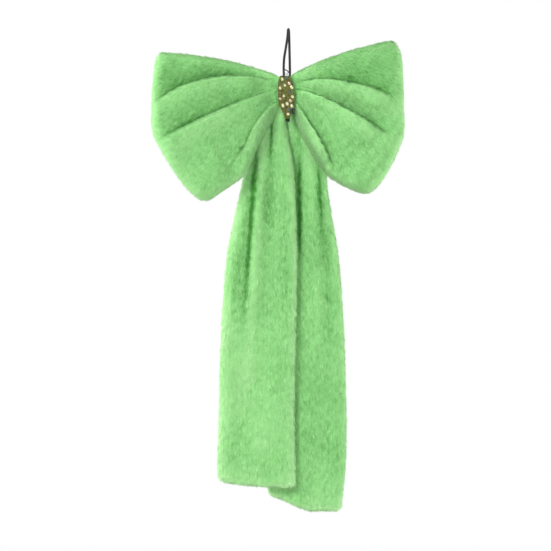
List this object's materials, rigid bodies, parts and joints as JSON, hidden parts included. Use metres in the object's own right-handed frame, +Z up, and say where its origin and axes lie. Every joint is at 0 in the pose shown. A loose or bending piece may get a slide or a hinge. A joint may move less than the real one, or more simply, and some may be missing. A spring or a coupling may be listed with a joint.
{
  "type": "gift bow",
  "caption": "Plush gift bow with two padded loops, two long hanging tails, a jewelled centre band and a black hanging cord.",
  "frame": {"origin": "inside of the hanging cord's top fold, where a hook holds it", "axes": "+Z up as the bow hangs, the front with the jewelled band faces -Y, +X is the viewer's right"},
  "size_m": [0.2539, 0.0534, 0.4845],
  "materials": {
    "plush": "soft dense pile",
    "wadding": "loose fibre",
    "felt": "matt felt",
    "cord": "satin round elastic cord",
    "wire": "black lacquered fine wire",
    "bead_base": "olive brown beaded mesh",
    "cup_metal": "aged gold cups",
    "seed": "small olive glass beads",
    "cream_crystal": "faceted",
    "rose_crystal": "faceted",
    "blue_crystal": "faceted",
    "clear_crystal": "clear"
  },
  "bodies": {
    "cord": {"hanging_cord": "cord", "cord_knot": "cord"},
    "knot": {"waist_gather": "plush", "tail_fold": "plush", "back_patch": "felt", "binding_wire": "wire", "band_backing": "felt", "band_base": "bead_base", "stone_cups": "cup_metal", "seed_beads": "seed", "stones_cream": "cream_crystal", "stones_rose": "rose_crystal", "stones_blue": "blue_crystal", "wire_arc": "wire", "clear_bead": "clear_crystal", "wire_curl": "wire", "wire_knot": "wire"},
    "left_loop": {"left_loop_wadding": "wadding", "left_loop_front": "plush", "left_loop_back": "plush"},
    "right_loop": {"right_loop_wadding": "wadding", "right_loop_front": "plush", "right_loop_back": "plush"},
    "left_tail": {"left_tail_front": "plush", "left_tail_back": "plush"},
    "right_tail": {"right_tail_front": "plush", "right_tail_back": "plush"}
  },
  "joints": [
    {"name": "bow_tilt", "type": "hinge", "parent": "cord", "child": "knot", "pos_m": [-0.0015, 0, -0.05], "axis": [1, 0, 0], "range_deg": [-30, 30]},
    {"name": "left_loop_flex", "type": "hinge", "parent": "knot", "child": "left_loop", "pos_m": [-0.013, -0.0055, -0.0656], "axis": [0, 0, 1], "range_deg": [0, 30], "stiffness_Nm_per_rad": 0.05},
    {"name": "right_loop_flex", "type": "hinge", "parent": "knot", "child": "right_loop", "pos_m": [0.013, -0.0055, -0.0656], "axis": [0, 0, -1], "range_deg": [0, 30], "stiffness_Nm_per_rad": 0.05},
    {"name": "left_tail_swing", "type": "hinge", "parent": "knot", "child": "left_tail", "pos_m": [-0.006, 0.007, -0.0874], "axis": [0, 1, 0], "range_deg": [-12, 30], "stiffness_Nm_per_rad": 0.06, "springref_deg": 6.88},
    {"name": "right_tail_swing", "type": "hinge", "parent": "knot", "child": "right_tail", "pos_m": [0.006, 0.0175, -0.0874], "axis": [0, -1, 0], "range_deg": [-12, 30], "stiffness_Nm_per_rad": 0.06, "springref_deg": 3.44}
  ]
}
